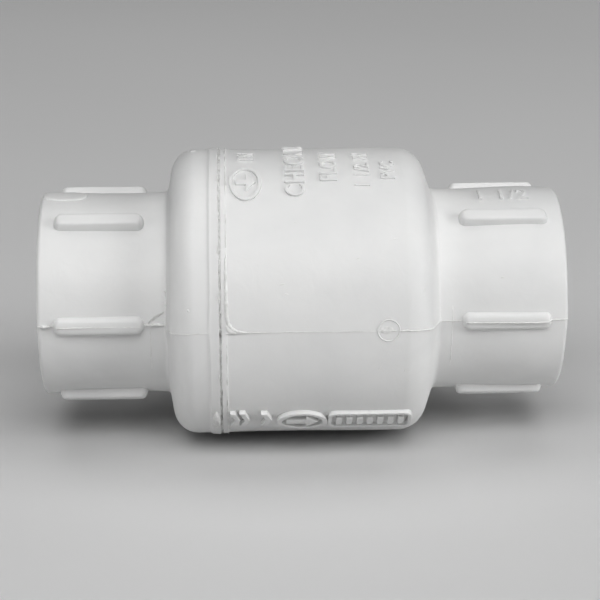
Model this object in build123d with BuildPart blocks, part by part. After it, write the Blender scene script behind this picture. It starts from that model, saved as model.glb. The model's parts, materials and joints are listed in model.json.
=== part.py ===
from build123d import *
import os
from math import cos, radians, tan

# In-line spring check valve for 1-1/2 inch threaded pipe, moulded in white PVC.
# Millimetres. The flow axis is +X and the origin is on it, at the inlet port's mouth.
# The mould's parting plane is z = 0. Everything is drawn with the valve closed.

# ---- driving dimensions ----
length = 152.5                # inlet port face to outlet port face
hub_wall = 5.8                # outside the thread
inlet_hub_length = 37.1       # port face to the foot of the inlet shoulder
outlet_hub_length = 37.3      # port face to the foot of the outlet shoulder
barrel_radius = 42.5
wall = 4.5                    # barrel and shoulder wall
end_round = 1.3               # outer edge of each port face
foot_round = 1.2              # where a hub meets its shoulder
inlet_slope = 10.0            # degrees that each shoulder leans away from square
outlet_slope = 20.0
inlet_shoulder_round = 7.5
outlet_shoulder_round = 8.5

# Ports for 1-1/2 inch pipe thread, 48.26 mm over the male thread
pipe_radius = 24.13
pipe_clearance = 0.07
thread_depth = 22.0
mouth_chamfer = 0.4
thread_runout = 2.0
throat_radius = 20.4          # bore of the pipe

# Grip ribs on the hubs
rib_count = 6
rib_inset = 4.75              # port face to rib
rib_length = 25.8
rib_width = 5.2
rib_height = 2.2
rib_draft = 22                # degrees that its sides lean in
rib_corner = 2.3
rib_edge = 0.9
rib_root = 1.0                # how far a rib is sunk into its hub

# Welded joint between the two shells
lip_length = 4.15             # straight barrel between the inlet shoulder and the band
groove_width = 0.7
band_width = 2.35
band_height = 0.5
ridge_width = 1.3
ridge_height = 0.3
bead_depth = 0.4              # top of the bead below the barrel
spigot_length = 8.0
socket_wall = 3.0             # outlet shell outside the spigot
spigot_wall = 3.0
socket_clearance = 0.1
socket_end_gap = 0.6

# Seat, on a nozzle that stands in the chamber
nozzle_length = 7.34
seat_land = 1.6               # flat width of the seat's lip
seat_flare = 0.6              # how much thicker the nozzle is at its root

# Poppet and the pieces screwed to it
disc_thickness = 4.0
disc_edge = 0.8
seal_thickness = 3.0
seal_overlap = 2.0            # rubber outside the seat's lip
seal_rim = 1.4                # wall of the cup that holds the seal
seal_rim_height = 1.2
seal_boss_radius = 12.0
seal_clearance = 0.1
retainer_margin = 2.4         # throat wall to retainer
retainer_length = 9.0
retainer_tip_radius = 7.0
retainer_bulge = 9.0          # radius that rounds the nose
counterbore_depth = 3.8
counterbore_clearance = 0.4
collar_gap = 1.65             # spring to the collar inside it
stem_radius = 5.0
stem_web = 2.2
stem_length = 31.0            # past the collar
stem_chamfer = 0.6
lift = 12.0                   # poppet travel
stop_clearance = 0.05
guide_clearance = 0.15

# Retainer screw, M5 pan head, and its washer
screw_radius = 2.45
screw_head_radius = 4.6
screw_head_height = 3.0
screw_head_edge = 1.2
screw_grip = 17.0             # under the head
screw_clearance = 0.05
washer_radius = 5.2
washer_thickness = 1.0
recess_width = 1.1
recess_span = 5.0
recess_depth = 1.7

# Spring
wire_radius = 0.6
spring_radius = 9.75          # to the middle of the wire
spring_length = 29.4          # fitted, valve closed
spring_turns = 7
spring_end_gap = 0.05

# Stem guide
pilot_gap = 1.15              # spring to the pilot inside it
pilot_height = 3.0
flange_margin = 1.25          # flange outside the spring
flange_thickness = 2.4
ring_wall = 2.5
ring_length = 5.0
ring_clearance = 0.05
ring_margin = 8.0             # barrel bore to the guide's ring
guide_tube_wall = 2.8
vane_count = 4
vane_thickness = 2.5
collar_wall = 2.4             # outlet shell's collar around the ring
ledge_width = 3.2
funnel_length = 6.6

# ---- places and sizes that follow from them ----
bore_radius = pipe_radius + pipe_clearance
hub_radius = bore_radius + hub_wall
inner_radius = barrel_radius - wall
throat_start = thread_depth + thread_runout
socket_radius = barrel_radius - socket_wall
spigot_radius = socket_radius - socket_clearance
spigot_bore = spigot_radius - spigot_wall
seat_radius = throat_radius + seat_land

outlet_foot = length - outlet_hub_length
inlet_rise = tan(radians(inlet_slope))
outlet_rise = tan(radians(outlet_slope))
inlet_wall_x = wall / cos(radians(inlet_slope))
outlet_wall_x = wall / cos(radians(outlet_slope))


def inlet_shoulder_x(radius):
    """Place of the inlet shoulder's outer face at a radius."""
    return inlet_hub_length + (radius - hub_radius) * inlet_rise


def outlet_shoulder_x(radius):
    """Place of the outlet shoulder's outer face at a radius."""
    return outlet_foot - (radius - hub_radius) * outlet_rise


# The inlet shoulder's rounding turns through the angle between its face and the barrel
inlet_shoulder_end = (
    inlet_shoulder_x(barrel_radius)
    + inlet_shoulder_round * tan(radians(90 - inlet_slope) / 2)
)
band_front = inlet_shoulder_end + lip_length
joint_front = band_front + band_width
joint_back = joint_front + groove_width
spigot_end = joint_back + spigot_length
nozzle_root = inlet_shoulder_x(seat_radius) + inlet_wall_x
seat_x = nozzle_root + nozzle_length

seal_back = seat_x + seal_thickness
disc_back = seal_back + disc_thickness
seal_outer = seat_radius + seal_overlap
cup_radius = seal_outer + seal_clearance
disc_radius = cup_radius + seal_rim
seal_bore = seal_boss_radius + seal_clearance
retainer_radius = throat_radius - retainer_margin
retainer_tip = seat_x - retainer_length
counterbore_x = retainer_tip + counterbore_depth
counterbore_radius = washer_radius + counterbore_clearance
screw_hole_radius = screw_radius + screw_clearance
screw_seat = counterbore_x - washer_thickness
screw_end = screw_seat + screw_grip

spring_bore = spring_radius - wire_radius
collar_radius = spring_bore - collar_gap
pilot_radius = spring_bore - pilot_gap
flange_radius = spring_radius + wire_radius + flange_margin
spring_seat = disc_back + spring_length
pilot_x = spring_seat - pilot_height
collar_end = pilot_x - lift - stop_clearance
stem_end = collar_end + stem_length

ring_radius = inner_radius - ring_margin
pocket_radius = ring_radius + ring_clearance
ledge_x = outlet_shoulder_x(pocket_radius) - outlet_wall_x
ring_front = ledge_x - ring_length
ledge_radius = pocket_radius - ledge_width
guide_tube_radius = stem_radius + guide_tube_wall


def rib_locations(middle_x):
    """Even places round a hub, one pair of them on the parting plane."""
    step = 360 / rib_count
    return [Location((middle_x, 0, 0), (90 + k * step, 0, 0)) for k in range(rib_count)]


def half_section(corners):
    """Closed outline through (x, radius, corner rounding) points, ready to turn about the flow axis."""
    points = [(x, radius) for x, radius, _ in corners]
    return FilletPolyline(*points, radius=[rounding for *_, rounding in corners], close=True)


# ---- one grip rib, standing on a hub's top, repeated on both shells ----
with BuildPart() as rib:
    rib_spread = rib_root * tan(radians(rib_draft))
    with BuildSketch(Plane.XY.offset(hub_radius - rib_root)):
        RectangleRounded(
            rib_length + 2 * rib_spread, rib_width + 2 * rib_spread, rib_corner + rib_spread
        )
    extrude(amount=rib_root + rib_height, taper=rib_draft)
    fillet(rib.faces().sort_by(Axis.Z)[-1].edges(), radius=rib_edge)

# ---- inlet shell: threaded hub, shoulder, seat nozzle and spigot ----
inlet_section = [
    (0, bore_radius + mouth_chamfer, 0),
    (0, hub_radius, end_round),
    (inlet_hub_length, hub_radius, foot_round),
    (inlet_shoulder_x(barrel_radius), barrel_radius, inlet_shoulder_round),
    (band_front, barrel_radius, 0),
    (band_front, barrel_radius + band_height, 0),
    (joint_front, barrel_radius + band_height, 0),
    (joint_front, spigot_radius, 0),
    (spigot_end, spigot_radius, 0),
    (spigot_end, spigot_bore, 0),
    (inlet_shoulder_x(spigot_bore) + inlet_wall_x, spigot_bore, inlet_shoulder_round - wall),
    (nozzle_root, seat_radius + seat_flare, 1),
    (seat_x, seat_radius, 0),
    (seat_x, throat_radius, 0),
    (throat_start, throat_radius, 0),
    (thread_depth, bore_radius, 0),
    (mouth_chamfer, bore_radius, 0),
]
with BuildPart() as inlet_body:
    with BuildSketch(Plane.XZ):
        with BuildLine():
            half_section(inlet_section)
        make_face()
    revolve(axis=Axis.X)
    with Locations(*rib_locations(rib_inset + rib_length / 2)):
        add(rib.part)

# ---- outlet shell: socket, chamber, collar for the guide, throat and threaded hub ----
outlet_section = [
    (joint_back, socket_radius, 0),
    (joint_back, barrel_radius + ridge_height, 0),
    (joint_back + ridge_width, barrel_radius + ridge_height, 0),
    (joint_back + ridge_width, barrel_radius, 0),
    (outlet_shoulder_x(barrel_radius), barrel_radius, outlet_shoulder_round),
    (outlet_foot, hub_radius, foot_round),
    (length, hub_radius, end_round),
    (length, bore_radius + mouth_chamfer, 0),
    (length - mouth_chamfer, bore_radius, 0),
    (length - thread_depth, bore_radius, 0),
    (length - throat_start, throat_radius, 0),
    (ledge_x + funnel_length, throat_radius, 3),
    (ledge_x, ledge_radius, 0),
    (ledge_x, pocket_radius, 0),
    (ring_front, pocket_radius, 0),
    (ring_front, pocket_radius + collar_wall, 0.8),
    (outlet_shoulder_x(pocket_radius + collar_wall) - outlet_wall_x, pocket_radius + collar_wall, 0),
    (outlet_shoulder_x(inner_radius) - outlet_wall_x, inner_radius, outlet_shoulder_round - wall),
    (spigot_end + socket_end_gap, inner_radius, 0),
    (spigot_end + socket_end_gap, socket_radius, 0),
]
with BuildPart() as outlet_body:
    with BuildSketch(Plane.XZ):
        with BuildLine():
            half_section(outlet_section)
        make_face()
    revolve(axis=Axis.X)
    with Locations(*rib_locations(length - rib_inset - rib_length / 2)):
        add(rib.part)

# ---- weld bead that fills the groove between the shells ----
with BuildPart() as weld_bead:
    with BuildSketch(Plane.YZ.offset(joint_front)):
        Circle(barrel_radius - bead_depth)
        Circle(spigot_radius, mode=Mode.SUBTRACT)
    extrude(amount=groove_width)

# ---- poppet: disc with a cup for its seal, collar and cross-shaped stem ----
poppet_section = [
    (seat_x, 0, 0),
    (seat_x, seal_boss_radius, 0),
    (seal_back, seal_boss_radius, 0),
    (seal_back, cup_radius, 0),
    (seal_back - seal_rim_height, cup_radius, 0),
    (seal_back - seal_rim_height, disc_radius, disc_edge / 2),
    (disc_back, disc_radius, disc_edge),
    (disc_back, collar_radius, 1),
    (collar_end, collar_radius, 0),
    (collar_end, 0, 0),
]
with BuildPart() as poppet:
    with BuildSketch(Plane.XZ):
        with BuildLine():
            half_section(poppet_section)
        make_face()
    revolve(axis=Axis.X)
    with BuildSketch(Plane.YZ.offset(collar_end)):
        Rectangle(2 * stem_radius, stem_web)
        Rectangle(stem_web, 2 * stem_radius)
    extrude(amount=stem_length)
    chamfer(poppet.faces().sort_by(Axis.X)[-1].edges(), length=stem_chamfer)
    with BuildSketch(Plane.YZ.offset(seat_x)):
        Circle(screw_hole_radius)
    extrude(amount=screw_end + screw_head_edge - seat_x, mode=Mode.SUBTRACT)

# ---- rubber seal ring that closes on the seat ----
with BuildPart() as poppet_seal:
    with BuildSketch(Plane.YZ.offset(seat_x)):
        Circle(seal_outer)
        Circle(seal_bore, mode=Mode.SUBTRACT)
    extrude(amount=seal_thickness)

# ---- nose that clamps the seal, with a counterbore for the screw ----
retainer_section = [
    (seat_x, screw_hole_radius, 0),
    (seat_x, retainer_radius, 0.6),
    (retainer_tip + screw_head_edge, retainer_radius - retainer_margin, retainer_bulge),
    (retainer_tip, retainer_tip_radius, 0.4),
    (retainer_tip, counterbore_radius, 0),
    (counterbore_x, counterbore_radius, 0),
    (counterbore_x, screw_hole_radius, 0),
]
with BuildPart() as seal_retainer:
    with BuildSketch(Plane.XZ):
        with BuildLine():
            half_section(retainer_section)
        make_face()
    revolve(axis=Axis.X)

# ---- washer and pan-head screw that hold the nose ----
with BuildPart() as retainer_washer:
    with BuildSketch(Plane.YZ.offset(screw_seat)):
        Circle(washer_radius)
        Circle(screw_hole_radius, mode=Mode.SUBTRACT)
    extrude(amount=washer_thickness)

with BuildPart() as retainer_screw:
    with BuildSketch(Plane.YZ.offset(screw_seat - screw_head_height)):
        Circle(screw_head_radius)
    extrude(amount=screw_head_height)
    fillet(retainer_screw.edges().sort_by(Axis.X)[0], radius=screw_head_edge)
    with BuildSketch(Plane.YZ.offset(screw_seat)):
        Circle(screw_radius)
    extrude(amount=screw_grip)
    chamfer(retainer_screw.faces().sort_by(Axis.X)[-1].edges(), length=stem_chamfer)
    with BuildSketch(Plane.YZ.offset(screw_seat - screw_head_height)):
        Rectangle(recess_span, recess_width)
        Rectangle(recess_width, recess_span)
    extrude(amount=recess_depth, mode=Mode.SUBTRACT)

# ---- closing spring, fitted between the disc and the guide's flange ----
coil_start = disc_back + wire_radius + spring_end_gap
coil_height = spring_length - 2 * (wire_radius + spring_end_gap)
with BuildPart() as spring:
    with BuildLine():
        coil = Helix(
            pitch=coil_height / spring_turns,
            height=coil_height,
            radius=spring_radius,
            center=(coil_start, 0, 0),
            direction=(1, 0, 0),
        )
    with BuildSketch(Plane(origin=coil @ 0, z_dir=coil % 0)):
        Circle(wire_radius)
    sweep(is_frenet=True)

# ---- stem guide: tube with a cross-shaped bore, flange for the spring, vanes and ring ----
guide_section = [
    (pilot_x, 0, 0),
    (pilot_x, pilot_radius, 0.5),
    (spring_seat, pilot_radius, 0),
    (spring_seat, flange_radius, 0.5),
    (spring_seat + flange_thickness, flange_radius, 0.5),
    (spring_seat + flange_thickness, guide_tube_radius, 0),
    (ledge_x, guide_tube_radius, 0),
    (ledge_x, 0, 0),
]
vane_section = [
    (spring_seat + flange_thickness / 2, 0, 0),
    (spring_seat + flange_thickness / 2, flange_radius - 0.5, 0),
    (ring_front, ring_radius - ring_wall / 2, 4),
    (ledge_x, ring_radius - ring_wall / 2, 0),
    (ledge_x, 0, 0),
]
with BuildPart() as stem_guide:
    with BuildSketch(Plane.XZ):
        with BuildLine():
            half_section(guide_section)
        make_face()
    revolve(axis=Axis.X)
    with BuildSketch(Plane.YZ.offset(ring_front)):
        Circle(ring_radius)
        Circle(ring_radius - ring_wall, mode=Mode.SUBTRACT)
    extrude(amount=ring_length)
    for k in range(vane_count):
        with BuildSketch(Plane.XZ.rotated((k * 360 / vane_count, 0, 0))):
            with BuildLine():
                half_section(vane_section)
            make_face()
        extrude(amount=vane_thickness / 2, both=True)
    with BuildSketch(Plane.YZ.offset(pilot_x)):
        Rectangle(2 * (stem_radius + guide_clearance), stem_web + 2 * guide_clearance)
        Rectangle(stem_web + 2 * guide_clearance, 2 * (stem_radius + guide_clearance))
    extrude(amount=ledge_x - pilot_x, mode=Mode.SUBTRACT)

# ---- labels and files ----
os.makedirs("parts", exist_ok=True)
inlet_body.part.label = "inlet_body"
outlet_body.part.label = "outlet_body"
weld_bead.part.label = "weld_bead"
poppet.part.label = "poppet"
poppet_seal.part.label = "poppet_seal"
seal_retainer.part.label = "seal_retainer"
retainer_washer.part.label = "retainer_washer"
retainer_screw.part.label = "retainer_screw"
spring.part.label = "spring"
stem_guide.part.label = "stem_guide"
export_step(inlet_body.part, "parts/inlet_body.step")
export_step(outlet_body.part, "parts/outlet_body.step")
export_step(weld_bead.part, "parts/weld_bead.step")
export_step(poppet.part, "parts/poppet.step")
export_step(poppet_seal.part, "parts/poppet_seal.step")
export_step(seal_retainer.part, "parts/seal_retainer.step")
export_step(retainer_washer.part, "parts/retainer_washer.step")
export_step(retainer_screw.part, "parts/retainer_screw.step")
export_step(spring.part, "parts/spring.step")
export_step(stem_guide.part, "parts/stem_guide.step")
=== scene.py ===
import json
import math

import bmesh
import bpy
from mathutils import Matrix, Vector, noise


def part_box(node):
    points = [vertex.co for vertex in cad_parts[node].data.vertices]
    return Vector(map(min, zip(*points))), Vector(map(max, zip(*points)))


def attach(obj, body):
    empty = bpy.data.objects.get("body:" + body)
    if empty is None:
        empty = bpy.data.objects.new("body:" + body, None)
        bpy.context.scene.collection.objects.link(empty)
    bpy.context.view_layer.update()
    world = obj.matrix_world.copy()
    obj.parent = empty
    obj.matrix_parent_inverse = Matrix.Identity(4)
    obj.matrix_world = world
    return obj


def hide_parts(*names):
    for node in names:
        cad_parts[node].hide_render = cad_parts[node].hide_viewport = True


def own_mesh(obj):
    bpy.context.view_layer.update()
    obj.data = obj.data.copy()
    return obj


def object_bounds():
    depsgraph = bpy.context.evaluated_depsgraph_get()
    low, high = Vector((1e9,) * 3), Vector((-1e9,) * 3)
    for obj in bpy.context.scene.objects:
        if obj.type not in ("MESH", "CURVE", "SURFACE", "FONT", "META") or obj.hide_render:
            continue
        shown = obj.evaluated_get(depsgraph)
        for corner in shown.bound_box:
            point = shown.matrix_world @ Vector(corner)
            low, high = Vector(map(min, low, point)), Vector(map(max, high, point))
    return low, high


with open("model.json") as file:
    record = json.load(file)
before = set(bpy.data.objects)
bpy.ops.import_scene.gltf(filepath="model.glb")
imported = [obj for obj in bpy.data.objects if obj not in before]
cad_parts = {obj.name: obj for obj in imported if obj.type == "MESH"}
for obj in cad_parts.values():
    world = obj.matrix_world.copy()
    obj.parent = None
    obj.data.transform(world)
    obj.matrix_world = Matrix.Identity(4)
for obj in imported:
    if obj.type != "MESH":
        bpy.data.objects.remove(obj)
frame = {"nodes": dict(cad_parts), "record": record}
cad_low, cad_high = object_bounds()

# In-line spring check valve. The flow axis is +X, the moulds part on the plane z = 0, and an
# angle round the axis is counted from the front (-Y, 0 degrees) over the top (+Z, 90 degrees).
MM = 0.001
HOUSING = "housing"

# ---------------------------------------------------------------- sizes read from the frame
port_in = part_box("inlet_body")[0].x
port_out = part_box("outlet_body")[1].x
bead_low, bead_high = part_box("weld_bead")
spring_low, spring_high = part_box("spring")
ports = {m["name"]: m for m in frame["record"]["mounts"]}
thread_radius = ports["inlet_port"]["dims"]["r_mm"] * MM

# Sizes of the moulded surface
hub_radius = 30.0 * MM
barrel_radius = 42.5 * MM
skin_play = 0.08 * MM         # how far the skin's middle lies under the CAD's surface
rib_inset = 4.75 * MM         # from a port's mouth to its ribs
rib_length = 25.8 * MM
rib_half_width = 2.55 * MM
rib_height = 2.25 * MM
rib_count = 6
parting_rise = 2.0            # degrees that the parting line stands higher on the barrel
parting_reach = 25            # degrees beside the parting line that lean with it
shell_columns = 336           # mesh columns round a shell
box_limit = cad_high.y - 0.01 * MM
skin_limit = box_limit - 0.16 * MM     # leaves room for flash and the weld to stand proud
ridge_sides = 6               # points across a ridge or a web of flash


def on_axis(x, radius, angle):
    """Point at a place along the axis, a radius and an angle in degrees."""
    a = math.radians(angle)
    return Vector((x, -radius * math.cos(a), radius * math.sin(a)))


def inside_box(p, spare=0.0):
    """The nearest place to p inside the valve's outer size. A spare keeps two pieces' flats apart."""
    limit = box_limit - spare
    return Vector((
        min(max(p.x, port_in), port_out),
        min(max(p.y, -limit), limit),
        min(max(p.z, -limit), limit),
    ))


def turn_between(a, b):
    """Smallest angle from b to a, in degrees, signed."""
    return (a - b + 180) % 360 - 180


# ---------------------------------------------------------------- making meshes
def add_mesh(name, points, faces, smooth_angle=40):
    """Closed mesh object with outward faces and smooth shading up to an angle."""
    mesh = bpy.data.meshes.new(name)
    mesh.from_pydata([tuple(p) for p in points], [], faces)
    bm = bmesh.new()
    bm.from_mesh(mesh)
    bmesh.ops.recalc_face_normals(bm, faces=bm.faces)
    bm.to_mesh(mesh)
    bm.free()
    mesh.shade_smooth()
    mesh.set_sharp_from_angle(angle=math.radians(smooth_angle))
    piece = bpy.data.objects.new(name, mesh)
    bpy.context.scene.collection.objects.link(piece)
    return piece


def grid_faces(rows, columns, rows_close=False, columns_close=False):
    """Quads between neighbouring points of a grid stored row by row."""
    faces = []
    for i in range(rows if rows_close else rows - 1):
        for j in range(columns if columns_close else columns - 1):
            k = (i + 1) % rows
            m = (j + 1) % columns
            faces.append((i * columns + j, i * columns + m, k * columns + m, k * columns + j))
    return faces


def capped_grid(rows, columns):
    """Faces of a closed bar: rings of points in rows, with a flat cap at each end."""
    faces = grid_faces(rows, columns, columns_close=True)
    faces.append(tuple(range(columns)))
    faces.append(tuple((rows - 1) * columns + j for j in range(columns)))
    return faces


def finish_piece(piece, material, body, replaced=()):
    """Gives a piece its material, body and slot, and hides the CAD nodes that it stands for."""
    piece.data.materials.clear()
    piece.data.materials.append(material)
    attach(piece, body)
    if replaced:
        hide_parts(*replaced)
    return piece


def wobble(x, y, z, size, seed=0.0):
    """Smooth noise between about -1 and 1 whose features are about size metres across."""
    return noise.noise(Vector((x / size + seed, y / size - seed, z / size + 2 * seed)))


# ---------------------------------------------------------------- materials
def new_material(name, colour, roughness, specular=0.5, metallic=0.0):
    """Principled material whose even values stay on the shader's own sockets."""
    material = bpy.data.materials.new(name)
    material.use_nodes = True
    shader = material.node_tree.nodes["Principled BSDF"]
    shader.inputs["Base Color"].default_value = (*colour, 1)
    shader.inputs["Roughness"].default_value = roughness
    shader.inputs["Specular IOR Level"].default_value = specular
    shader.inputs["Metallic"].default_value = metallic
    return material, material.node_tree, shader


def add_noise(tree, coordinates, scale, detail=3.0, distortion=0.0):
    """Noise texture on a coordinate output."""
    texture = tree.nodes.new("ShaderNodeTexNoise")
    texture.inputs["Scale"].default_value = scale
    texture.inputs["Detail"].default_value = detail
    texture.inputs["Distortion"].default_value = distortion
    tree.links.new(coordinates, texture.inputs["Vector"])
    return texture.outputs["Fac"]


def add_range(tree, value, low, high, start=0.3, end=0.7):
    """Value mapped from start..end to low..high."""
    node = tree.nodes.new("ShaderNodeMapRange")
    node.inputs["From Min"].default_value = start
    node.inputs["From Max"].default_value = end
    node.inputs["To Min"].default_value = low
    node.inputs["To Max"].default_value = high
    tree.links.new(value, node.inputs["Value"])
    return node.outputs["Result"]


def add_mix(tree, factor, first, second):
    """Colour between two constants by a factor."""
    node = tree.nodes.new("ShaderNodeMix")
    node.data_type = "RGBA"
    node.inputs["A"].default_value = (*first, 1)
    node.inputs["B"].default_value = (*second, 1)
    tree.links.new(factor, node.inputs["Factor"])
    return node.outputs["Result"]


def add_bump(tree, shader, layers):
    """Chain of bumps, each a (height, distance, strength), into the shader's normal."""
    normal = None
    for height, distance, strength in layers:
        node = tree.nodes.new("ShaderNodeBump")
        node.inputs["Distance"].default_value = distance
        node.inputs["Strength"].default_value = strength
        tree.links.new(height, node.inputs["Height"])
        if normal is not None:
            tree.links.new(normal, node.inputs["Normal"])
        normal = node.outputs["Normal"]
    tree.links.new(normal, shader.inputs["Normal"])


def object_coordinates(tree):
    """Coordinates that stay with the piece when it moves."""
    return tree.nodes.new("ShaderNodeTexCoord").outputs["Object"]


def make_shell_pvc():
    """White moulded PVC: faint clouding, slightly uneven gloss, a fine satin grain."""
    material, tree, shader = new_material("white_pvc", (0.80, 0.80, 0.795), 0.36)
    place = object_coordinates(tree)
    cloud = add_noise(tree, place, 38, 4.0, 0.6)
    colour = add_mix(tree, add_range(tree, cloud, 0, 1), (0.775, 0.777, 0.775), (0.825, 0.825, 0.82))
    tree.links.new(colour, shader.inputs["Base Color"])
    gloss = add_noise(tree, place, 95, 3.0)
    tree.links.new(add_range(tree, gloss, 0.46, 0.60), shader.inputs["Roughness"])
    grain = add_noise(tree, place, 2600, 2.0)
    flow_lines = add_noise(tree, place, 160, 3.0, 1.2)
    add_bump(tree, shader, [(flow_lines, 0.00018, 0.35), (grain, 0.00002, 0.5)])
    return material


def make_torn_pvc():
    """PVC that was melted and torn: chalky, rough and a little whiter at its thin edges."""
    material, tree, shader = new_material("torn_pvc", (0.82, 0.82, 0.81), 0.55)
    place = object_coordinates(tree)
    patches = add_noise(tree, place, 420, 4.0, 0.8)
    colour = add_mix(tree, add_range(tree, patches, 0, 1), (0.74, 0.74, 0.73), (0.88, 0.88, 0.875))
    tree.links.new(colour, shader.inputs["Base Color"])
    tree.links.new(add_range(tree, patches, 0.42, 0.68), shader.inputs["Roughness"])
    crumbs = add_noise(tree, place, 1500, 5.0, 0.4)
    add_bump(tree, shader, [(crumbs, 0.00015, 0.6)])
    return material


def make_inner_pvc():
    """Satin PVC of the pieces inside, with the mould's fine spark texture."""
    material, tree, shader = new_material("inner_pvc", (0.66, 0.67, 0.67), 0.42)
    place = object_coordinates(tree)
    cloud = add_noise(tree, place, 60, 3.0, 0.4)
    colour = add_mix(tree, add_range(tree, cloud, 0, 1), (0.63, 0.64, 0.645), (0.69, 0.70, 0.70))
    tree.links.new(colour, shader.inputs["Base Color"])
    tree.links.new(add_range(tree, cloud, 0.36, 0.50), shader.inputs["Roughness"])
    grain = add_noise(tree, place, 1900, 2.0)
    add_bump(tree, shader, [(grain, 0.00003, 0.6)])
    return material


def make_rubber():
    """Black seal rubber with a dusty bloom."""
    material, tree, shader = new_material("seal_rubber", (0.028, 0.028, 0.030), 0.6, 0.4)
    place = object_coordinates(tree)
    bloom = add_noise(tree, place, 130, 5.0, 0.5)
    colour = add_mix(tree, add_range(tree, bloom, 0, 1), (0.022, 0.022, 0.024), (0.050, 0.050, 0.052))
    tree.links.new(colour, shader.inputs["Base Color"])
    tree.links.new(add_range(tree, bloom, 0.48, 0.72), shader.inputs["Roughness"])
    grain = add_noise(tree, place, 1400, 4.0)
    add_bump(tree, shader, [(grain, 0.00004, 0.6)])
    return material


def make_steel(name, stretch, roughness_low, roughness_high):
    """Stainless steel with fine lines drawn along the directions that stretch makes long."""
    material, tree, shader = new_material(name, (0.60, 0.59, 0.575), 0.3, metallic=1.0)
    mapping = tree.nodes.new("ShaderNodeMapping")
    mapping.inputs["Scale"].default_value = stretch
    tree.links.new(object_coordinates(tree), mapping.inputs["Vector"])
    lines = add_noise(tree, mapping.outputs["Vector"], 1.0, 4.0, 0.2)
    colour = add_mix(tree, add_range(tree, lines, 0, 1), (0.52, 0.51, 0.50), (0.68, 0.67, 0.65))
    tree.links.new(colour, shader.inputs["Base Color"])
    tree.links.new(add_range(tree, lines, roughness_low, roughness_high), shader.inputs["Roughness"])
    add_bump(tree, shader, [(lines, 0.00002, 0.4)])
    return material


shell_pvc = make_shell_pvc()
torn_pvc = make_torn_pvc()
inner_pvc = make_inner_pvc()
seal_rubber = make_rubber()
turned_steel = make_steel("turned_steel", (2400, 500, 500), 0.22, 0.38)
drawn_steel = make_steel("drawn_steel", (900, 300, 300), 0.18, 0.32)


# ---------------------------------------------------------------- moulded shells
def section_of(node, angle):
    """Closed outline of a CAD node's half-section at an angle, as (x, radius) points in order."""
    bm = bmesh.new()
    bm.from_mesh(frame["nodes"][node].data)
    bmesh.ops.remove_doubles(bm, verts=bm.verts, dist=1e-6)
    a = math.radians(angle)
    outward = Vector((0, -math.cos(a), math.sin(a)))
    across = Vector((0, math.sin(a), math.cos(a)))
    cut = bmesh.ops.bisect_plane(
        bm, geom=bm.verts[:] + bm.edges[:] + bm.faces[:], plane_co=(0, 0, 0), plane_no=across
    )["geom_cut"]
    edges = [e for e in cut if isinstance(e, bmesh.types.BMEdge)]
    edges = [e for e in edges if all(v.co.dot(outward) > 0 for v in e.verts)]
    follow = {}
    for e in edges:
        for v in e.verts:
            follow.setdefault(v, []).append(e.other_vert(v))
    start = next(iter(follow))
    loop, before, here = [start], None, start
    while True:
        ahead = [v for v in follow[here] if v is not before]
        before, here = here, ahead[0]
        if here is start:
            break
        loop.append(here)
    outline = [Vector((v.co.x, v.co.dot(outward))) for v in loop]
    bm.free()
    return without_straight_points(outline)


def without_straight_points(outline, bend=0.4, nearest=0.02 * MM):
    """Closed outline without repeated points, and without those where it turns under bend degrees."""
    apart = []
    for p in outline:
        if not apart or (p - apart[-1]).length > nearest:
            apart.append(p)
    if (apart[0] - apart[-1]).length <= nearest:
        apart.pop()
    kept = []
    for i, p in enumerate(apart):
        back = p - apart[i - 1]
        on = apart[(i + 1) % len(apart)] - p
        if back.angle(on) > math.radians(bend):
            kept.append(p)
    return kept


def outer_part(outline, first, last):
    """The outline's two stretches between two of its points: (outer side, inner side)."""
    i, j = outline.index(first), outline.index(last)
    one = outline[i:j + 1] if i < j else outline[i:] + outline[:j + 1]
    other = outline[j:i + 1] if j < i else outline[j:] + outline[:i + 1]
    other.reverse()
    mean = [sum(p.y for p in side) / len(side) for side in (one, other)]
    return (one, other) if mean[0] > mean[1] else (other, one)


def eased_steps(points, run=0.8 * MM, tallest=1.0 * MM):
    """Outline with the barrel's small upright steps spread into slopes, by moving their lower ends."""
    eased = [p.copy() for p in points]
    for i, (p, q) in enumerate(zip(points, points[1:])):
        upright = abs(p.x - q.x) < 0.02 * MM and 0 < abs(p.y - q.y) < tallest
        if upright and min(p.y, q.y) > barrel_radius - 0.1 * MM:
            if p.y < q.y:
                eased[i].x -= run
            else:
                eased[i + 1].x += run * 0.6
    return eased


def softened(points, sharp=18, cut=0.35 * MM):
    """Open outline whose sharp corners are rounded off with short curves."""
    soft = [points[0]]
    for before, corner, after in zip(points, points[1:], points[2:]):
        back, on = before - corner, after - corner
        if math.degrees((-back).angle(on)) < sharp:
            soft.append(corner)
            continue
        start = corner + back.normalized() * min(cut, back.length * 0.45)
        end = corner + on.normalized() * min(cut, on.length * 0.45)
        for k in range(4):
            t = k / 3
            soft.append(start.lerp(corner, t).lerp(corner.lerp(end, t), t))
    return soft + [points[-1]]


def spaced(points, step, bend=20):
    """Points along an open outline on a smooth curve, so that no gap is over step(x) metres."""
    headings = []
    for i, p in enumerate(points):
        back = p - points[i - 1] if i else points[1] - p
        on = points[i + 1] - p if i + 1 < len(points) else back
        gentle = math.degrees(back.angle(on)) < bend
        headings.append((back.normalized() + on.normalized()).normalized() if gentle else None)
    found = []
    for i, (p, q) in enumerate(zip(points, points[1:])):
        chord = q - p
        leave = (headings[i] or chord.normalized()) * chord.length
        arrive = (headings[i + 1] or chord.normalized()) * chord.length
        pieces = max(1, math.ceil(chord.length / step((p.x + q.x) / 2)))
        for k in range(pieces):
            t = k / pieces
            found.append(
                p * (2 * t**3 - 3 * t**2 + 1) + leave * (t**3 - 2 * t**2 + t)
                + q * (3 * t**2 - 2 * t**3) + arrive * (t**3 - t**2)
            )
    return found + [points[-1]]


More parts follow.
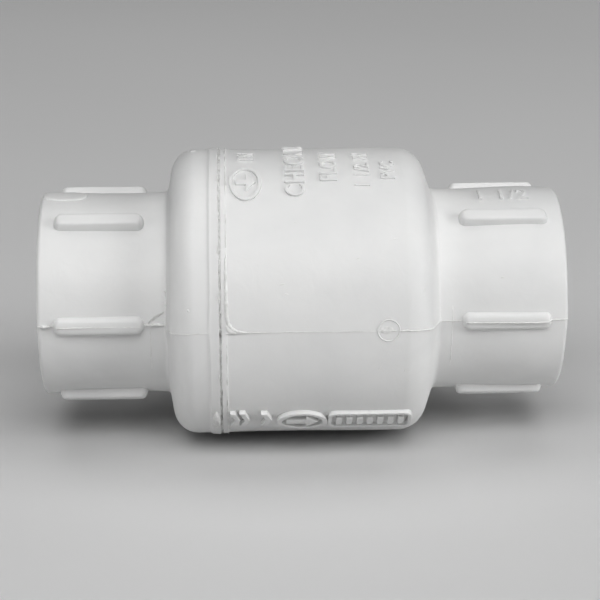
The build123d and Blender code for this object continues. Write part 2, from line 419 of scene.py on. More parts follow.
def smooth_step(value, low, high):
    """0 below low and 1 above high, with a smooth change between them."""
    t = min(1, max(0, (value - low) / (high - low)))
    return t * t * (3 - 2 * t)


def parting_lean(x):
    """Degrees that the parting line has risen at a place along the axis."""
    left = smooth_step(x, port_in + 36 * MM, port_in + 47 * MM)
    right = 1 - smooth_step(x, port_out - 47 * MM, port_out - 36 * MM)
    return parting_rise * min(left, right)


def parting_angle(x, side):
    """Angle of the parting line in front (side 0) or behind (side 180)."""
    return side + parting_lean(x) * (1 if side == 0 else -1)


def shell_angles():
    """Angles of the mesh columns, with close pairs where the parting line's small ledge is."""
    angles = {360 * k / shell_columns for k in range(shell_columns)}
    return sorted(angles | {0.22, 359.6, 179.78, 180.4})


def leaning(x, angle):
    """Column angle moved so that the columns beside the parting line follow it."""
    front = max(0, 1 - abs(turn_between(angle, 0)) / parting_reach)
    back = max(0, 1 - abs(turn_between(angle, 180)) / parting_reach)
    return angle + parting_lean(x) * (front - back)


def crease(x, angle):
    """Ridge where the two mould halves meet, with the lower half standing a little further in."""
    ridge_reach, ledge_reach = 8.0, 14.0
    ridge = (0.62 - 0.30 * min(1, parting_lean(x) / parting_rise)) * MM
    front = turn_between(angle, parting_angle(x, 0))
    back = -turn_between(angle, parting_angle(x, 180))
    nearest = front if abs(front) < abs(back) else back
    below = max(0.0, min(1.0, 0.5 - nearest / 0.5))
    torn = smooth_step(x, 52.3 * MM, 52.9 * MM) * (1 - smooth_step(x, 56 * MM, 70 * MM))
    ledge = (0.07 + 0.26 * torn) * MM * below
    return ridge * math.exp(-abs(nearest) / ridge_reach) - ledge * math.exp(-abs(nearest) / ledge_reach)


def moulded_surface(x, radius, angle):
    """How far the moulded skin stands out from the CAD's at a place on it."""
    p = on_axis(x, radius, angle)
    swell = crease(x, angle) - skin_play
    swell += 0.07 * MM * wobble(*p, 14 * MM, 3.1) + 0.022 * MM * wobble(*p, 4.5 * MM, 8.4)
    return min(swell, skin_limit - radius)


def skin_line(outer, angle):
    """The moulded skin near an angle, as (x, radius, angle) points with their outward normals."""
    line = []
    for i, p in enumerate(outer):
        along = (outer[min(i + 1, len(outer) - 1)] - outer[max(i - 1, 0)]).normalized()
        normal = Vector((-along.y, along.x))
        fade = min(1, min(i, len(outer) - 1 - i) / 3)
        turned = leaning(p.x, angle)
        at = p + normal * fade * moulded_surface(p.x, p.y, turned)
        line.append((Vector((at.x, at.y, turned)), normal))
    return line


def make_shell(name, node, first, last):
    """Shell turned from the CAD's section, its outer skin swelled by crease, ledge and wobble.

    The outer outline that it follows is handed back, for what is laid on the skin.
    """
    outline = section_of(node, 30.0)
    outer, inner = outer_part(outline, first(outline), last(outline))
    outer = spaced(softened(eased_steps(outer)), lambda x: 0.8 * MM)
    inner = inner[1:-1]
    angles = shell_angles()
    lines = [skin_line(outer, angle) for angle in angles]
    points = []
    for i in range(len(outer)):
        points += [inside_box(on_axis(*line[i][0])) for line in lines]
    for p in reversed(inner):
        points += [on_axis(p.x, p.y, angle) for angle in angles]
    rows = len(outer) + len(inner)
    faces = grid_faces(rows, len(angles), rows_close=True, columns_close=True)
    shell = add_mesh(name, points, faces, 44)
    finish_piece(shell, shell_pvc, HOUSING, [node])
    return outer


def at_lowest_x(outline):
    """The outline's outer corner at its lower end along the axis."""
    low = min(p.x for p in outline)
    return max((p for p in outline if p.x < low + 0.05 * MM), key=lambda p: p.y)


def at_highest_x(outline):
    """The outline's outer corner at its upper end along the axis."""
    high = max(p.x for p in outline)
    return max((p for p in outline if p.x > high - 0.05 * MM), key=lambda p: p.y)


def at_band_edge(outline):
    """The corner of the raised band that is next to the weld."""
    return max((p for p in outline if p.y > barrel_radius + 0.1 * MM), key=lambda p: p.x)


inlet_rib_centre = port_in + rib_inset + rib_length / 2
outlet_rib_centre = port_out - rib_inset - rib_length / 2
inlet_outer = make_shell("inlet_shell", "inlet_body", at_lowest_x, at_band_edge)
outlet_outer = make_shell("outlet_shell", "outlet_body", at_lowest_x, at_highest_x)


def skin_radius(x, angle):
    """Radius of the moulded skin at a place on a hub or the barrel, or over the weld's groove."""
    radius = barrel_radius
    outer = inlet_outer if x < bead_low.x else outlet_outer
    for p, q in zip(outer, outer[1:]):
        if p.x <= x <= q.x and q.x > p.x:
            radius = p.y + (q.y - p.y) * (x - p.x) / (q.x - p.x)
    return radius + moulded_surface(x, radius, angle)


# ---------------------------------------------------------------- grip ribs
def make_rib(name, centre, angle):
    """One grip rib: drafted sides, rounded corners and edges, and slightly uneven faces.

    The ribs that the mould halves share have a low ridge along the middle, where they part.
    """
    ridge = 0.5 * MM if angle % 180 == 0 else 0
    side_steps, corner_steps, corner = 8, 6, 1.9 * MM
    # Each level: share of the height, mm in from the sides, mm in from the ends
    levels = (
        (-0.40, -0.10, -0.15), (0.05, -0.02, 0.0), (0.30, 0.10, 0.10), (0.72, 0.34, 0.45),
        (0.90, 0.52, 0.80), (0.98, 0.78, 1.25), (1.0, 1.10, 1.80), (1.0, 1.60, 2.60), (1.0, 2.20, 3.60),
    )
    points = []
    for rise, inset_side, inset_end in levels:
        half_u = rib_length / 2 - inset_end * MM
        half_v = rib_half_width - inset_side * MM
        turn = max(0.12 * MM, min(corner - 0.5 * inset_side * MM, half_v))
        for u, v in rounded_loop(half_u, half_v, turn, corner_steps, side_steps):
            x = centre + u
            spread = angle + math.degrees(v / (hub_radius + rise * rib_height))
            p = on_axis(x, hub_radius, spread)
            uneven = 0.05 * MM * wobble(*p, 5 * MM, 12.0) if rise > 0.5 else 0
            roof = ridge * (0.35 - abs(v) / rib_half_width) if rise > 0.8 else 0
            points.append(on_axis(x, hub_radius + rise * rib_height + uneven + roof, spread))
    faces = capped_grid(len(levels), len(points) // len(levels))
    return finish_piece(add_mesh(name, points, faces, 38), shell_pvc, HOUSING)


def rounded_loop(half_u, half_v, corner, corner_steps, side_steps):
    """Rounded rectangle with extra points along its two long sides."""
    loop = []
    for quarter in range(4):
        sign_u = 1 if quarter in (0, 3) else -1
        sign_v = 1 if quarter in (0, 1) else -1
        for k in range(corner_steps + 1):
            t = math.pi / 2 * (quarter + k / corner_steps)
            loop.append((
                sign_u * (half_u - corner) + corner * math.cos(t),
                sign_v * (half_v - corner) + corner * math.sin(t),
            ))
        if quarter in (0, 2):
            start, end = sign_u * (half_u - corner), -sign_u * (half_u - corner)
            for k in range(1, side_steps):
                loop.append((start + (end - start) * k / side_steps, sign_v * half_v))
    return loop


for hub, centre in (("inlet", inlet_rib_centre), ("outlet", outlet_rib_centre)):
    for k in range(rib_count):
        make_rib("%s_rib_%d" % (hub, k), centre, k * 360 / rib_count)


# ---------------------------------------------------------------- ridges and flash
def make_ridge(name, path, material, spare=0.0, sink=0.3 * MM, closed=False):
    """Thin ridge along a path of (place, normal, half width, height), its base under the skin."""
    count = len(path)
    points = []
    for i, (place, normal, half_width, height) in enumerate(path):
        ahead = path[(i + 1) % count][0] if closed or i + 1 < count else place
        behind = path[i - 1][0] if closed or i else place
        side = (ahead - behind).cross(normal).normalized() * half_width
        points.append(place - side - normal * sink)
        points.append(place - side * 0.9 + normal * 0.25 * height)
        points.append(place - side * 0.35 + normal * height)
        points.append(place + side * 0.35 + normal * height)
        points.append(place + side * 0.9 + normal * 0.25 * height)
        points.append(place + side - normal * sink)
    if closed:
        faces = grid_faces(count, ridge_sides, rows_close=True, columns_close=True)
    else:
        faces = capped_grid(count, ridge_sides)
    ridge = add_mesh(name, [inside_box(p, spare) for p in points], faces, 60)
    return finish_piece(ridge, material, HOUSING)


def radial(angle):
    """Unit vector straight out from the axis."""
    return on_axis(0, 1, angle)


def rib_top(x, centre):
    """Height of a rib's middle line above its hub, for flash that runs over it."""
    end = abs(x - centre) - rib_length / 2
    return rib_height * smooth_step(-end, -0.1 * MM, 1.3 * MM)


def make_parting_flash(name, outer, rib_centre, side, seed, rough_parts=(), skip=0):
    """Thin broken line of flash where the mould halves met, following the skin and the ribs.

    rough_parts are (start, end, extra) stretches along x where it stands further out.
    """
    line = skin_line(outer, side + 0.3)[3:len(outer) - 3 - skip]
    path = []
    for (p, normal), (q, q_normal) in zip(line, line[1:]):
        pieces = max(1, round((q.xy - p.xy).length / (0.4 * MM)))
        for k in range(pieces):
            at = p.lerp(q, k / pieces)
            out = normal.lerp(q_normal, k / pieces).normalized()
            rough = wobble(at.x, 0, 0, 3.2 * MM, seed)
            fine = wobble(at.x, 0, 0, 0.8 * MM, seed + 5)
            extra = sum(
                more * min(1, (at.x - start) / MM, (end - at.x) / MM)
                for start, end, more in rough_parts if start < at.x < end
            )
            aside = (0.10 + 0.5 * extra) * rough + (0.05 + 0.3 * extra) * fine
            height = max(0.03, 0.10 + 0.14 * rough + 0.10 * fine + extra * (1.1 + 1.6 * fine)) * MM
            half_width = (max(0.07, 0.13 + 0.06 * fine) + 0.45 * extra) * MM
            lift = rib_top(at.x, rib_centre)
            turned = at.z + math.degrees(aside * MM / at.y)
            way = radial(turned)
            place = on_axis(at.x, at.y + lift, turned)
            path.append((place, Vector((out.x, way.y * out.y, way.z * out.y)), half_width, height))
    return make_ridge(name, path, torn_pvc, 0.02 * MM)


def make_ring_line(name, x, start, end, height, roughness, seed):
    """Faint mould line round a hub, rougher where roughness is larger."""
    count = round(abs(end - start) / 0.9)
    path = []
    for i in range(count + 1):
        t = i / count
        angle = start + (end - start) * t
        rough = wobble(angle, 0, 0, 2.3, seed)
        at = x + 0.12 * MM * wobble(angle, 1, 0, 6, seed)
        rise = (height + roughness * max(0, rough)) * min(1, 6 * t, 6 * (1 - t)) + 0.01 * MM
        path.append((on_axis(at, skin_radius(at, angle), angle), radial(angle), 0.14 * MM, rise))
    return make_ridge(name, path, torn_pvc)


def make_loop_line(name, x, angle, radius, height, seed):
    """Round witness of a moulding gate, standing a little above the skin."""
    path = []
    count = 40
    for i in range(count):
        turn = 2 * math.pi * i / count
        at = x + radius * math.cos(turn)
        arc = angle + math.degrees(radius * math.sin(turn) / barrel_radius)
        rough = wobble(math.cos(turn), math.sin(turn), 0, 0.7, seed)
        place = on_axis(at, skin_radius(at, arc), arc)
        path.append((place, radial(arc), 0.20 * MM, height * (1 + 0.5 * rough)))
    return make_ridge(name, path, shell_pvc, closed=True)


def make_patch(name, edge, height, material, rough=0.0, seed=0.0, soft=0.35):
    """Low pad on the skin: edge is a closed loop of (x, angle), higher towards its middle."""
    count = len(edge)
    centre = (sum(x for x, a in edge) / count, sum(a for x, a in edge) / count)
    points = []
    rings = [(1.0, -0.3 * MM), (1.0, 0.02 * height), (1 - 0.4 * soft, 0.7 * height), (1 - soft, height)]
    rings += [(share * (1 - soft), height) for share in (0.8, 0.6, 0.4, 0.2)]
    for share, rise in rings:
        for x, angle in edge:
            at = centre[0] + (x - centre[0]) * share
            arc = centre[1] + (angle - centre[1]) * share
            up = rise
            if rise > 0.5 * height:
                up += rough * wobble(at / MM, arc, 0, 1.3, seed)
            points.append(inside_box(on_axis(at, skin_radius(at, arc) + up, arc), 0.05 * MM))
    patch = add_mesh(name, points, capped_grid(len(rings), count), 50)
    return finish_piece(patch, material, HOUSING)


def ellipse_edge(x, angle, half_x, half_angle, count=36, power=1.0):
    """Closed loop round a place; a power under 1 makes its ends squarer."""
    loop = []
    for i in range(count):
        c, d = math.cos(2 * math.pi * i / count), math.sin(2 * math.pi * i / count)
        loop.append((
            x + half_x * math.copysign(abs(c) ** power, c),
            angle + half_angle * math.copysign(abs(d) ** power, d),
        ))
    return loop


def make_web(name, spine, thickness, lift_height):
    """Thin torn flap: spine is a list of (x, angle, reach, lean) from which a fin stands off."""
    points = []
    for x, angle, reach, lean in spine:
        radius = skin_radius(x, angle)
        out = radial(angle)
        over = radial(angle + 90) * lean
        foot = on_axis(x, radius - 0.3 * MM, angle)
        tip = on_axis(x, radius, angle) + (out * lift_height + over) * reach
        for place, share in ((foot, 1.0), (foot.lerp(tip, 0.6), 0.8), (tip, 0.35)):
            points.append(place - radial(angle + 90) * thickness * share / 2)
        for place, share in ((tip, 0.35), (foot.lerp(tip, 0.6), 0.8), (foot, 1.0)):
            points.append(place + radial(angle + 90) * thickness * share / 2)
    web = add_mesh(name, [inside_box(p) for p in points], capped_grid(len(spine), ridge_sides), 50)
    return finish_piece(web, torn_pvc, HOUSING)


def make_skin_line(name, corners, half_width, height, seed):
    """Ridge through (x, angle) corners on the skin, thinner towards both ends."""
    path = []
    for i, ((x, angle), (next_x, next_angle)) in enumerate(zip(corners, corners[1:])):
        for k in range(8):
            t = k / 8
            share = (i + t) / (len(corners) - 1)
            at, turned = x + (next_x - x) * t, angle + (next_angle - angle) * t
            body = math.sin(math.pi * (0.08 + 0.84 * share)) ** 0.6
            rough = 1 + 0.3 * wobble(at, turned * MM, 0, 1.1 * MM, seed)
            place = on_axis(at, skin_radius(at, turned), turned)
            path.append((place, radial(turned), half_width * body * rough, height * body * rough))
    return make_ridge(name, path, torn_pvc, 0.01 * MM * seed)


# Stretches of rougher flash, as (start, end, mm further out)
inlet_rough = ((0.2 * MM, 5.0 * MM, 0.55), (30.4 * MM, 36.8 * MM, 0.6))
outlet_rough = ((52.9 * MM, 60 * MM, 0.10), (103 * MM, 113 * MM, 0.22), (146 * MM, 152 * MM, 0.12))
for face, side in (("front", 0), ("back", 180)):
    make_parting_flash(
        "inlet_flash_" + face, inlet_outer, inlet_rib_centre, side, 2.0 + side, inlet_rough, 4
    )
    make_parting_flash(
        "outlet_flash_" + face, outlet_outer, outlet_rib_centre, side, 9.0 + side, outlet_rough
    )

# Mould lines round the hubs, the gate's witness, and pads, crumbs and specks left by the mould
make_ring_line("inlet_mould_line", 32.3 * MM, -1, -30, 0.07 * MM, 0.08 * MM, 4.0)
make_ring_line("outlet_mould_line", 119.1 * MM, 9, -31, 0.07 * MM, 0.16 * MM, 6.0)
make_loop_line("gate_ring", 99.8 * MM, 2.4, 3.1 * MM, 0.22 * MM, 1.0)
gate_edge = ellipse_edge(99.2 * MM, 2.6, 1.9 * MM, 1.6)
make_patch("gate_scar", gate_edge, 0.10 * MM, torn_pvc, 0.20 * MM, 2.0)
pad_edge = ellipse_edge(7.1 * MM, 92, 6.6 * MM, 9.0, 48, 0.75)
make_patch("hub_pad", pad_edge, 0.32 * MM, shell_pvc, soft=0.10)
band_edge = ellipse_edge(50.9 * MM, -43, 1.2 * MM, 7.5, 30, 1.2)
make_patch("band_scar", band_edge, 0.70 * MM, torn_pvc, 0.35 * MM, 5.0)
make_patch("dome_speck_low", ellipse_edge(43.5 * MM, 11, 0.35 * MM, 0.5, 12), 0.18 * MM, torn_pvc)
make_patch("dome_speck_high", ellipse_edge(44.6 * MM, 96, 1.1 * MM, 1.6, 20), 0.22 * MM, shell_pvc)

# Webs of flash where the parting line meets the weld
make_skin_line(
    "weld_gusset",
    [
        (54.1 * MM, 31), (54.1 * MM, 22), (54.15 * MM, 14), (54.25 * MM, 9),
        (54.6 * MM, 6), (55.5 * MM, 4), (57.2 * MM, 2.8), (60 * MM, 2.2),
    ],
    0.62 * MM, 0.42 * MM, 3.0,
)
make_skin_line(
    "weld_corner",
    [(54.2 * MM, 5.0), (54.6 * MM, 3.6), (55.6 * MM, 2.6), (57 * MM, 2.1)],
    0.7 * MM, 0.5 * MM, 4.0,
)

# Crumbs in the corner where the inlet hub meets the shoulder
for number, angle in enumerate((11.0, 15.5, 18.5)):
    crumb = ellipse_edge(36.75 * MM, angle, 0.28 * MM, 0.7, 12)
    make_patch("foot_crumb_%d" % number, crumb, 0.30 * MM, torn_pvc)

# Small raised scuffs on the skin, as (mm along the axis, degrees round it, mm long, degrees of slant)
nicks = (
    (73.5, 45, 0.9, 0.9), (69.0, 20.5, 2.0, 0.2), (70.6, 17, 1.2, -0.3), (90.8, 30, 1.0, 0.5),
    (101.4, 37.6, 1.3, 0.4), (133.0, 23.7, 1.0, 0.2), (97.0, -14, 0.9, 1.2), (104.3, -15.6, 0.6, 1.6),
    (109.6, 17, 0.7, 2.2),
)
for number, (x, angle, length, slant) in enumerate(nicks):
    ends = [(x * MM, angle), ((x + length) * MM, angle + slant)]
    make_skin_line("nick_%d" % number, ends, 0.16 * MM, 0.09 * MM, 1.0 + number)

# Loose leaf of flash that curls up from the parting line towards the shoulder
leaf_spine = [
    ((31.7 + 4.6 * t) * MM, 0.4 + 6.6 * t, (0.45 + 1.5 * math.sin(math.pi * t)) * MM, 0.9 - 0.5 * t)
    for t in (0, 0.15, 0.3, 0.45, 0.6, 0.75, 0.9, 1.0)
]
make_web("hub_leaf", leaf_spine, 0.6 * MM, 0.55)


# ---------------------------------------------------------------- raised marks
def flat_curve(name, loops):
    """Filled 2D curve from closed loops of (u, v); loops inside others are holes."""
    data = bpy.data.curves.new(name, "CURVE")
    data.dimensions = "2D"
    data.fill_mode = "BOTH"
    for loop in loops:
        spline = data.splines.new("POLY")
        spline.points.add(len(loop) - 1)
        for point, (u, v) in zip(spline.points, loop):
            point.co = (u, v, 0, 1)
        spline.use_cyclic_u = True
    return data


def text_curve(name, text, capital):
    """Plain bold capitals of a given height, starting at the origin."""
    capital_share = 0.72      # of the font's size that a capital is tall
    data = bpy.data.curves.new(name, "FONT")
    data.body = text
    data.size = capital / capital_share
    data.space_character = 1.10
    data.offset = 0.12 * MM
    data.resolution_u = 4
    return data


def make_mark(name, data, radius, to_place, height=0.5 * MM, sink=0.3 * MM):
    """Raised mark: a filled curve given depth, cut into strips and bent onto the skin.

    to_place turns (u, v) of the curve into (x, angle).
    """
    bevel, strip = 0.16 * MM, 1.0 * MM
    data.extrude = (height + sink) / 2 - bevel
    data.bevel_depth = bevel
    data.bevel_resolution = 1
    data.offset -= bevel
    flat = bpy.data.objects.new(name + "_flat", data)
    bpy.context.scene.collection.objects.link(flat)
    graph = bpy.context.evaluated_depsgraph_get()
    mesh = bpy.data.meshes.new_from_object(flat.evaluated_get(graph))
    bpy.data.objects.remove(flat)
    bm = bmesh.new()
    bm.from_mesh(mesh)
    bmesh.ops.remove_doubles(bm, verts=bm.verts, dist=2e-6)
    for axis in (0, 1):
        low = min(v.co[axis] for v in bm.verts)
        high = max(v.co[axis] for v in bm.verts)
        normal = Vector((1, 0, 0)) if axis == 0 else Vector((0, 1, 0))
        for k in range(1, math.ceil((high - low) / strip)):
            place = normal * (low + k * strip)
            geometry = bm.verts[:] + bm.edges[:] + bm.faces[:]
            bmesh.ops.bisect_plane(bm, geom=geometry, plane_co=place, plane_no=normal)
    middle = (height - sink) / 2
    for v in bm.verts:
        x, angle = to_place(v.co.x, v.co.y)
        v.co = inside_box(on_axis(x, radius + middle + v.co.z, angle))
    bm.normal_update()
    bmesh.ops.recalc_face_normals(bm, faces=bm.faces)
    bm.to_mesh(mesh)
    bm.free()
    mesh.shade_smooth()
    mesh.set_sharp_from_angle(angle=math.radians(50))
    mark = bpy.data.objects.new(name, mesh)
    bpy.context.scene.collection.objects.link(mark)
    return finish_piece(mark, shell_pvc, HOUSING)


def round_the_barrel(x, angle, narrow=1.0):
    """Marks read round the barrel with their tops towards the inlet."""
    return lambda u, v: (x - v, angle + math.degrees(narrow * u / barrel_radius))


def along_the_hub(x, angle, narrow=1.0):
    """Marks read along the axis with their tops turned over the hub."""
    return lambda u, v: (x + narrow * u, angle + math.degrees(v / hub_radius))


def ring_loop(radius_u, radius_v, count=40):
    """Ellipse about the origin."""
    turns = [2 * math.pi * i / count for i in range(count)]
    return [(radius_u * math.cos(t), radius_v * math.sin(t)) for t in turns]


def arrow_loop(length, half_head, half_shaft, head):
    """Arrow that points along -v, the flow's direction on a mark round the barrel."""
    return [
        (0, -length / 2), (half_head, -length / 2 + head), (half_shaft, -length / 2 + head),
        (half_shaft, length / 2), (-half_shaft, length / 2), (-half_shaft, -length / 2 + head),
        (-half_head, -length / 2 + head),
    ]


def box_loop(half_u, half_v, corner, u=0.0, v=0.0):
    """Rounded rectangle about (u, v)."""
    loop = []
    for quarter in range(4):
        middle_u = (half_u - corner) * (1 if quarter in (0, 3) else -1)
        middle_v = (half_v - corner) * (1 if quarter in (0, 1) else -1)
        for k in range(4):
            t = math.pi / 2 * (quarter + k / 3)
            loop.append((u + middle_u + corner * math.cos(t), v + middle_v + corner * math.sin(t)))
    return loop


def chevron_loop(half, reach, stroke, v):
    """V stroke that points along -v."""
    return [
        (-half, v + reach), (0, v), (half, v + reach), (half, v + reach + stroke),
        (0, v + stroke), (-half, v + reach + stroke),
    ]


barrel_skin = barrel_radius - skin_play
hub_skin = hub_radius - skin_play
flow_mark_place = round_the_barrel(60.0 * MM, 65)
make_mark(
    "flow_mark_ring",
    flat_curve("flow_mark_ring", [ring_loop(7.2 * MM, 4.7 * MM), ring_loop(6.0 * MM, 3.6 * MM)]),
    barrel_skin, flow_mark_place,
)
make_mark(
    "flow_mark_arrow",
    flat_curve("flow_mark_arrow", [arrow_loop(5.8 * MM, 3.6 * MM, 1.0 * MM, 2.8 * MM)]),
    barrel_skin, flow_mark_place,
)
# Rows of plain words, as (name, text, mm along the axis, mm tall, degrees where the row starts)
rows = (
    ("row_type", "CHECK VALVE", 76.9, 5.8, 57),
    ("row_flow", "FLOW", 86.3, 5.0, 65),
    ("row_size", "1 1/2 IN", 95.6, 4.4, 61),
    ("row_material", "PVC", 103.0, 4.2, 66),
    ("row_inlet", "IN", 62.4, 4.6, 81),
)
for name, text, x, capital, angle in rows:
    place = round_the_barrel(x * MM, angle, 0.86)
    make_mark(name, text_curve(name, text, capital * MM), barrel_skin, place)
make_mark(
    "size_mark", text_curve("size_mark", "1 1/2", 6.4 * MM),
    hub_skin, along_the_hub(127.4 * MM, 77, 0.80), 0.85 * MM,
)

# Lower marks: chevrons for the flow, an oval round an arrow, and a framed row of bars.
# Each is (name, mm along the axis, degrees round it, loops)
lower_height = 1.25 * MM
lower_marks = (
    ("lower_chevrons", 57.9, -41.5, [
        chevron_loop(3.8 * MM, 1.5 * MM, 1.6 * MM, k * 2.7 * MM) for k in (-1, 0)
    ]),
    ("lower_chevron", 65.4, -41.5, [chevron_loop(3.4 * MM, 1.5 * MM, 1.8 * MM, -1.6 * MM)]),
    ("lower_oval", 75.7, -43.5, [ring_loop(5.0 * MM, 7.3 * MM), ring_loop(3.9 * MM, 5.9 * MM)]),
    ("lower_arrow", 75.7, -43.5, [arrow_loop(9.4 * MM, 3.2 * MM, 1.1 * MM, 3.6 * MM)]),
    ("lower_frame", 95.4, -43.5, [
        box_loop(4.6 * MM, 12.2 * MM, 2.2 * MM), box_loop(3.5 * MM, 11.1 * MM, 1.2 * MM),
    ]),
    ("lower_bars", 95.4, -43.5, [
        box_loop(2.2 * MM, 0.9 * MM, 0.3 * MM, 0, (k - 3) * 3.0 * MM) for k in range(7)
    ]),
)
for name, x, angle, loops in lower_marks:
    make_mark(name, flat_curve(name, loops), barrel_skin, round_the_barrel(x * MM, angle), lower_height)


# ---------------------------------------------------------------- weld, threads and spring
def make_weld_bead():
    """Ragged ring of melted plastic that fills the groove and squeezes out over its edges."""
    count, spread = 480, 0.45 * MM
    foot, shoulder = 39.45 * MM, 42.3 * MM
    # Across the bead: share of its width, share of its rise over the shoulder (None is the buried foot)
    profile = (
        (0.1, None), (0.0, 0.00), (0.12, 0.55), (0.35, 0.85),
        (0.55, 1.0), (0.8, 0.75), (1.0, 0.05), (0.9, None),
    )
    width = bead_high.x - bead_low.x + 2 * spread
    points = []
    for share, rise in profile:
        for i in range(count):
            angle = 360 * i / count
            around = radial(angle)
            rough = wobble(around.y, around.z, share, 0.060, 1.5)
            crumbs = wobble(around.y, around.z, 3 * share, 0.016, 7.5)
            tear = max(0, 1 - abs(turn_between(angle, parting_rise - 1.5)) / 2.4)
            top = (42.36 + 0.55 * rough + 0.65 * crumbs - 1.2 * tear) * MM
            aside = 0.30 * MM * wobble(around.y, around.z, 0, 0.035, 3.0 + 4 * round(share))
            at = bead_low.x - spread + width * share
            if rise is None:
                radius = foot
            else:
                radius = shoulder + (top - shoulder) * rise
                at += aside
            points.append(inside_box(on_axis(at, radius, angle), 0.03 * MM))
    faces = grid_faces(len(profile), count, rows_close=True, columns_close=True)
    bead = add_mesh("torn_weld_bead", points, faces, 50)
    return finish_piece(bead, torn_pvc, HOUSING, ["weld_bead"])


def make_weld_lip(name, x, foot, height, seed):
    """Broken lip of flash along an edge of the joint, gone where it tore at the parting line."""
    path = []
    count = 520
    for i in range(count):
        angle = 360 * i / count
        around = radial(angle)
        rough = wobble(around.y, around.z, 0, 0.080, seed)
        fine = wobble(around.y, around.z, 0, 0.018, seed + 2)
        torn = min(1, abs(turn_between(angle, parting_rise - 1)) / 4)
        at = x + 0.12 * MM * rough + 0.06 * MM * fine
        rise = height * torn * max(0.04, 0.45 + 0.9 * rough + 0.5 * fine)
        path.append((on_axis(at, foot, angle), radial(angle), 0.17 * MM, rise))
    return make_ridge(name, path, torn_pvc, closed=True)


make_weld_lip("inlet_weld_lip", bead_low.x - 0.22 * MM, 42.7 * MM, 0.55 * MM, 2.0)
make_weld_lip("outlet_weld_lip", bead_high.x + 1.45 * MM, 42.4 * MM, 0.65 * MM, 5.0)


def make_thread(name, mouth, inward):
    """Pipe thread's crests in a port: a ridge wound inwards from the bore's wall."""
    pitch, crest, half_width = 2.2087 * MM, 1.45 * MM, 0.98 * MM
    start, end = 1.3 * MM, 19.3 * MM
    per_turn, fade_in, fade_out = 72, 40, 60      # points
    count = round((end - start) / pitch * per_turn)
    wall = thread_radius + 0.02 * MM
    path = []
    for i in range(count + 1):
        depth = start + (end - start) * i / count
        x = mouth + inward * depth
        angle = -360 * x / pitch
        run_in = min(1, i / fade_in, (count - i) / fade_out)
        place = on_axis(x, wall, angle)
        path.append((place, -radial(angle), half_width, max(0.02 * MM, crest * run_in)))
    return make_thread_ridge(name, path)


def make_thread_ridge(name, path):
    """Sharp V ridge along a helical path of (place, normal, half width, height)."""
    sunk, flat = -0.1 * MM, 0.13
    points = []
    for place, normal, half_width, height in path:
        section = (
            (-1.0, sunk), (-1.0, 0.0), (-flat, height), (flat, height), (1.0, 0.0), (1.0, sunk),
        )
        for aside, rise in section:
            points.append(place + Vector((aside * half_width, 0, 0)) + normal * rise)
    thread = add_mesh(name, points, capped_grid(len(path), ridge_sides), 30)
    return finish_piece(thread, shell_pvc, HOUSING)


def make_spring():
    """Coil spring with closed, squared ends."""
    wire, mean = 0.6 * MM, 9.75 * MM
    turns, dead, per_turn, round_wire = 7, 1, 36, 12
    low, high = spring_low.x + wire, spring_high.x - wire
    dead_rise = 2 * wire * 1.03
    points = []
    for i in range(turns * per_turn + 1):
        t = i / per_turn
        if t < dead:
            x = low + dead_rise * t
        elif t > turns - dead:
            x = high - dead_rise * (turns - t)
        else:
            x = low + dead_rise + (high - low - 2 * dead_rise) * (t - dead) / (turns - 2 * dead)
        angle = -360 * t
        for k in range(round_wire):
            roll = 2 * math.pi * k / round_wire
            points.append(on_axis(x + wire * math.sin(roll), mean + wire * math.cos(roll), angle))
    coil = add_mesh("coil_spring", points, capped_grid(turns * per_turn + 1, round_wire), 60)
    finish_piece(coil, drawn_steel, HOUSING, ["spring"])
    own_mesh(coil)


make_weld_bead()
make_thread("inlet_thread", port_in, 1)
make_thread("outlet_thread", port_out, -1)
make_spring()

for node, material in (
    ("poppet", inner_pvc), ("seal_retainer", inner_pvc), ("stem_guide", inner_pvc),
    ("poppet_seal", seal_rubber), ("retainer_washer", turned_steel), ("retainer_screw", turned_steel),
):
    for place in frame["nodes"][node].material_slots:
        place.material = material


# ---------------------------------------------------------------- camera, light and floor
def make_camera():
    """120 mm lens 0.6 m away, a little left of square on and 18.5 degrees above the axis."""
    azimuth, elevation = math.radians(-2.4), math.radians(18.5)
    distance = 0.602
    aim = Vector((port_in + 80.9 * MM, 0, 0))
    back = Vector((
        math.sin(azimuth) * math.cos(elevation),
        -math.cos(azimuth) * math.cos(elevation),
        math.sin(elevation),
    ))
    data = bpy.data.cameras.new("camera")
    data.lens = 120.0
    data.shift_x = -0.0258
    data.shift_y = -0.0176
    data.clip_start = 0.01
    camera = bpy.data.objects.new("camera", data)
    camera.location = aim + distance * back
    camera.rotation_mode = "QUATERNION"
    camera.rotation_quaternion = (-back).to_track_quat("-Z", "Y")
    bpy.context.scene.collection.objects.link(camera)
    bpy.context.scene.camera = camera


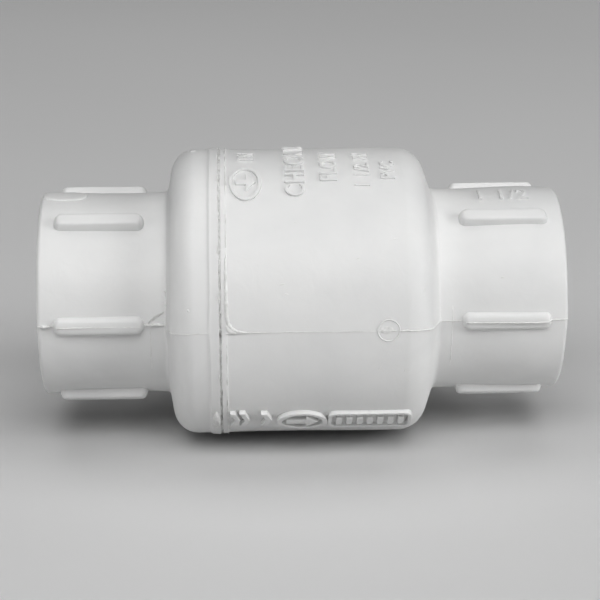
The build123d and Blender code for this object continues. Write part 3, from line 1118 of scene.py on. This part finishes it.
def add_softbox(name, place, target, width, height, watts):
    """Rectangular area light aimed at a point."""
    data = bpy.data.lights.new(name, "AREA")
    data.shape = "RECTANGLE"
    data.size = width
    data.size_y = height
    data.energy = watts
    light = bpy.data.objects.new(name, data)
    light.location = place
    light.rotation_mode = "QUATERNION"
    light.rotation_quaternion = (Vector(target) - Vector(place)).to_track_quat("-Z", "Y")
    bpy.context.scene.collection.objects.link(light)


def make_floor():
    """Plain pale floor that the barrel's band just touches."""
    half = 3.0
    height = cad_low.z - 0.1 * MM
    corners = [(-half, -half, height), (half, -half, height), (half, half, height), (-half, half, height)]
    mesh = bpy.data.meshes.new("floor")
    mesh.from_pydata(corners, [], [(0, 1, 2, 3)])
    floor = bpy.data.objects.new("floor", mesh)
    bpy.context.scene.collection.objects.link(floor)
    material, tree, shader = new_material("floor_paper", (0.72, 0.72, 0.72), 0.9, 0.1)
    tone = add_noise(tree, object_coordinates(tree), 3, 2.0)
    colour = add_mix(tree, add_range(tree, tone, 0, 1), (0.71, 0.71, 0.71), (0.73, 0.73, 0.73))
    tree.links.new(colour, shader.inputs["Base Color"])
    mesh.materials.append(material)


def make_light():
    """Wide soft light from above, in front and both sides, more from the right, and a dim room."""
    middle = (0.5 * (port_in + port_out), 0, 0)
    add_softbox("key_softbox", (0.05, -1.65, 1.80), middle, 2.4, 1.2, 33)
    add_softbox("top_softbox", (0.10, 0.45, 2.45), middle, 2.8, 1.6, 20)
    add_softbox("right_softbox", (2.5, -1.00, 0.85), middle, 1.2, 1.4, 31)
    add_softbox("left_softbox", (-2.4, -0.90, 0.85), middle, 1.2, 1.4, 12)
    world = bpy.data.worlds.new("room")
    bpy.context.scene.world = world
    world.use_nodes = True
    sky = world.node_tree.nodes["Background"]
    sky.inputs["Color"].default_value = (1, 1, 1, 1)
    sky.inputs["Strength"].default_value = 0.08
    bpy.context.scene.view_settings.view_transform = "Standard"
    bpy.context.scene.view_settings.gamma = 0.72


make_camera()
make_light()
make_floor()
